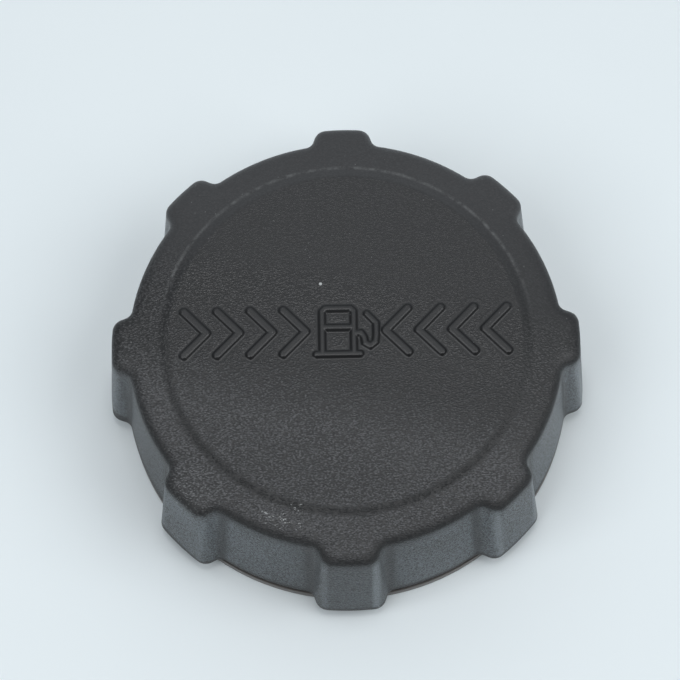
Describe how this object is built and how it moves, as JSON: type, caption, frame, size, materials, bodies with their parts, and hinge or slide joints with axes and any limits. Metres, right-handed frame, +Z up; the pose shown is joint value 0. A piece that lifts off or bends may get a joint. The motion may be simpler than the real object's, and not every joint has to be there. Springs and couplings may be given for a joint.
{
  "type": "fuel filler cap",
  "caption": "Vented screw-on fuel tank cap: black lugged hand grip over a threaded closure with ratchet, neck gasket and sprung pressure and vacuum valves.",
  "frame": {"origin": "centre of the closure's open rim, on the plane where the cap rests when put down", "axes": "+Z up along the screw axis, from the open rim towards the raised disc on top; a lug points along each of +X, -X, +Y and -Y"},
  "size_m": [0.0958, 0.0958, 0.0294],
  "materials": {
    "grained_black_plastic": "moulded black polypropylene with a leather grain",
    "plain_black_plastic": "smooth moulded black glass-filled nylon",
    "natural_acetal": "natural white acetal, satin",
    "green_nylon": "moulded dark green nylon",
    "nitrile_rubber": "black nitrile, dull",
    "fluoro_rubber": "brown fluoroelastomer, dull",
    "spring_steel": "drawn stainless wire",
    "turned_brass": "turned brass"
  },
  "bodies": {
    "closure": {"threaded_closure": "plain_black_plastic", "ratchet_ring": "natural_acetal", "neck_gasket": "nitrile_rubber", "valve_housing": "green_nylon", "housing_o_ring": "fluoro_rubber", "splash_baffle": "plain_black_plastic", "pressure_spring": "spring_steel"},
    "grip": {"grip_shell": "grained_black_plastic"},
    "pressure_valve": {"pressure_plate": "natural_acetal", "pressure_seal": "fluoro_rubber", "vacuum_spring": "spring_steel"},
    "vacuum_valve": {"vacuum_valve": "turned_brass", "vacuum_seal": "fluoro_rubber", "stem_clip": "spring_steel"}
  },
  "joints": [
    {"name": "grip_turn", "type": "hinge", "parent": "closure", "child": "grip", "pos_m": [0, 0, 0], "axis": [0, 0, 1], "continuous": true, "deforming": ["ratchet_ring"]},
    {"name": "pressure_valve_lift", "type": "slide", "parent": "closure", "child": "pressure_valve", "axis": [0, 0, 1], "range_m": [0, 0.0012], "stiffness_N_per_m": 600, "springref_m": -0.0021, "deforming": ["pressure_spring"]},
    {"name": "vacuum_valve_drop", "type": "slide", "parent": "pressure_valve", "child": "vacuum_valve", "axis": [0, 0, -1], "range_m": [0, 0.0009], "stiffness_N_per_m": 80, "springref_m": -0.0014, "deforming": ["vacuum_spring"]}
  ]
}
